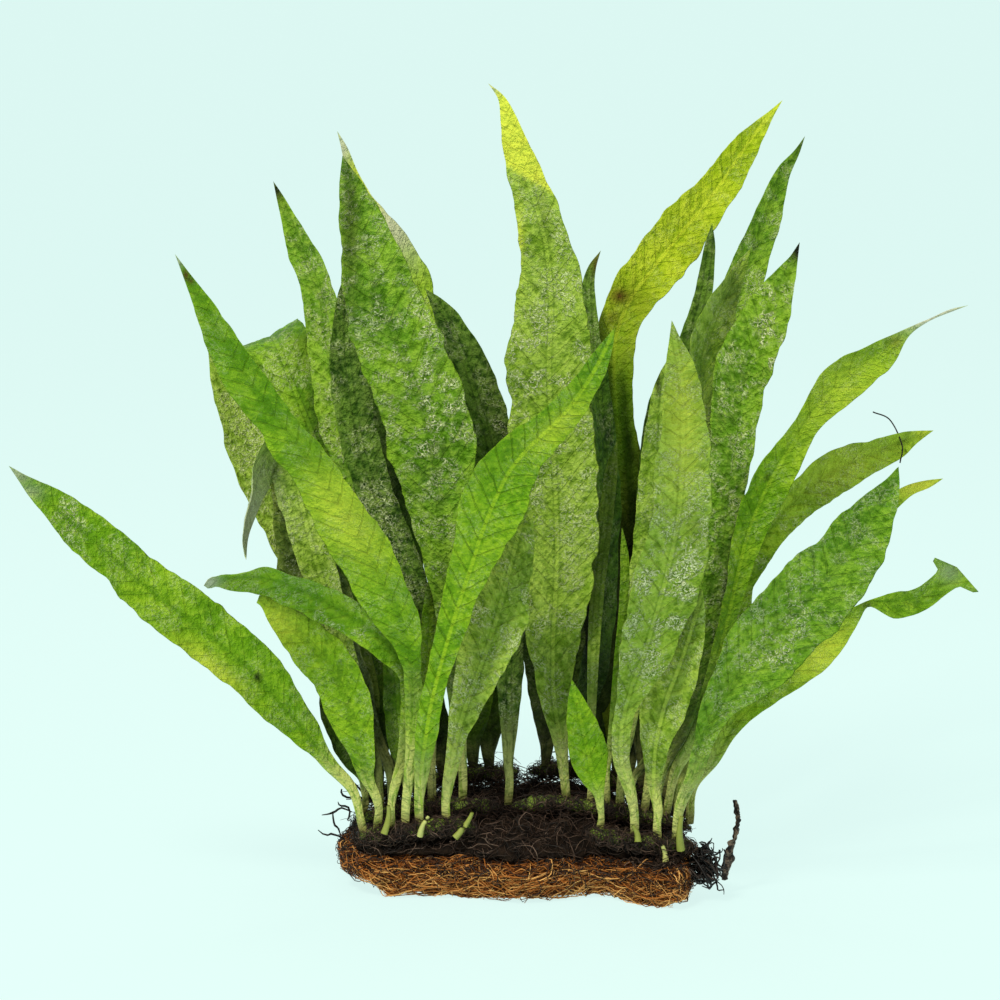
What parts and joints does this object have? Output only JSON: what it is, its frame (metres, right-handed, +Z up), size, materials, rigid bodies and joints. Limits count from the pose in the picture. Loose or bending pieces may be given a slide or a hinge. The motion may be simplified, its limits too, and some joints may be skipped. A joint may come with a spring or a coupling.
{
  "type": "java fern plant",
  "caption": "Java fern with long lance-shaped leaves on creeping rhizomes, rooted over a loose coconut fibre mat, to stand in a tank.",
  "frame": {"origin": "on the surface the mat rests on, below the mat's middle", "axes": "+Z up, -Y towards the front of the clump, +X to the right seen from the front"},
  "size_m": [0.3353, 0.2295, 0.2913],
  "materials": {
    "coir_mat": "fibrous",
    "leaf_behind_front_right": "waxy",
    "leaf_bent_over": "waxy",
    "leaf_biggest_left": "waxy",
    "leaf_bright_edge": "waxy",
    "leaf_dark_gap_left": "waxy",
    "leaf_dark_middle": "waxy",
    "leaf_edge_right_of_tallest": "waxy",
    "leaf_far_left": "waxy",
    "leaf_front_crossing": "waxy",
    "leaf_front_right": "waxy",
    "leaf_in_shade": "waxy",
    "leaf_left_arching": "waxy",
    "leaf_left_broad": "waxy",
    "leaf_left_long": "waxy",
    "leaf_left_low_dark": "waxy",
    "leaf_left_low_yellow": "waxy",
    "leaf_left_of_biggest": "waxy",
    "leaf_left_olive": "waxy",
    "leaf_left_silver": "waxy",
    "leaf_low_green": "waxy",
    "leaf_low_left_green": "waxy",
    "leaf_lower_middle": "waxy",
    "leaf_lowest_right": "waxy",
    "leaf_narrow_back": "waxy",
    "leaf_narrow_dark": "waxy",
    "leaf_olive_back": "waxy",
    "leaf_rear_far_right": "waxy",
    "leaf_rear_left": "waxy",
    "leaf_rear_middle": "waxy",
    "leaf_rear_middle_left": "waxy",
    "leaf_rear_middle_right": "waxy",
    "leaf_rear_right": "waxy",
    "leaf_right_black_tip": "waxy",
    "leaf_right_dark": "waxy",
    "leaf_right_grey_green": "waxy",
    "leaf_right_low_big": "waxy",
    "leaf_right_low_grey": "waxy",
    "leaf_right_spotted": "waxy",
    "leaf_right_tall": "waxy",
    "leaf_short_bright": "waxy",
    "leaf_small_bright_right": "waxy",
    "leaf_tall_dark_tip": "waxy",
    "leaf_tall_yellow_right": "waxy",
    "leaf_tallest": "waxy",
    "leaf_torn_tip": "waxy",
    "leaf_withered_tip": "waxy",
    "leaf_yellow_margin": "waxy",
    "leaf_yellow_tip_right": "waxy",
    "rhizome_back_left": "matte",
    "rhizome_back_right": "matte",
    "rhizome_front_left": "matte",
    "rhizome_front_right": "matte",
    "rhizome_middle_left": "matte",
    "rhizome_middle_right": "matte",
    "root_mass": "fibrous",
    "root_tangle_right": "fibrous",
    "withered_frond": "dry"
  },
  "bodies": {
    "root": {"coir_mat": "coir_mat", "leaf_behind_front_right": "leaf_behind_front_right", "leaf_bent_over": "leaf_bent_over", "leaf_biggest_left": "leaf_biggest_left", "leaf_bright_edge": "leaf_bright_edge", "leaf_dark_gap_left": "leaf_dark_gap_left", "leaf_dark_middle": "leaf_dark_middle", "leaf_edge_right_of_tallest": "leaf_edge_right_of_tallest", "leaf_far_left": "leaf_far_left", "leaf_front_crossing": "leaf_front_crossing", "leaf_front_right": "leaf_front_right", "leaf_in_shade": "leaf_in_shade", "leaf_left_arching": "leaf_left_arching", "leaf_left_broad": "leaf_left_broad", "leaf_left_long": "leaf_left_long", "leaf_left_low_dark": "leaf_left_low_dark", "leaf_left_low_yellow": "leaf_left_low_yellow", "leaf_left_of_biggest": "leaf_left_of_biggest", "leaf_left_olive": "leaf_left_olive", "leaf_left_silver": "leaf_left_silver", "leaf_low_green": "leaf_low_green", "leaf_low_left_green": "leaf_low_left_green", "leaf_lower_middle": "leaf_lower_middle", "leaf_lowest_right": "leaf_lowest_right", "leaf_narrow_back": "leaf_narrow_back", "leaf_narrow_dark": "leaf_narrow_dark", "leaf_olive_back": "leaf_olive_back", "leaf_rear_far_right": "leaf_rear_far_right", "leaf_rear_left": "leaf_rear_left", "leaf_rear_middle": "leaf_rear_middle", "leaf_rear_middle_left": "leaf_rear_middle_left", "leaf_rear_middle_right": "leaf_rear_middle_right", "leaf_rear_right": "leaf_rear_right", "leaf_right_black_tip": "leaf_right_black_tip", "leaf_right_dark": "leaf_right_dark", "leaf_right_grey_green": "leaf_right_grey_green", "leaf_right_low_big": "leaf_right_low_big", "leaf_right_low_grey": "leaf_right_low_grey", "leaf_right_spotted": "leaf_right_spotted", "leaf_right_tall": "leaf_right_tall", "leaf_short_bright": "leaf_short_bright", "leaf_small_bright_right": "leaf_small_bright_right", "leaf_tall_dark_tip": "leaf_tall_dark_tip", "leaf_tall_yellow_right": "leaf_tall_yellow_right", "leaf_tallest": "leaf_tallest", "leaf_torn_tip": "leaf_torn_tip", "leaf_withered_tip": "leaf_withered_tip", "leaf_yellow_margin": "leaf_yellow_margin", "leaf_yellow_tip_right": "leaf_yellow_tip_right", "rhizome_back_left": "rhizome_back_left", "rhizome_back_right": "rhizome_back_right", "rhizome_front_left": "rhizome_front_left", "rhizome_front_right": "rhizome_front_right", "rhizome_middle_left": "rhizome_middle_left", "rhizome_middle_right": "rhizome_middle_right", "root_mass": "root_mass", "root_tangle_right": "root_tangle_right", "withered_frond": "withered_frond"}
  },
  "joints": []
}
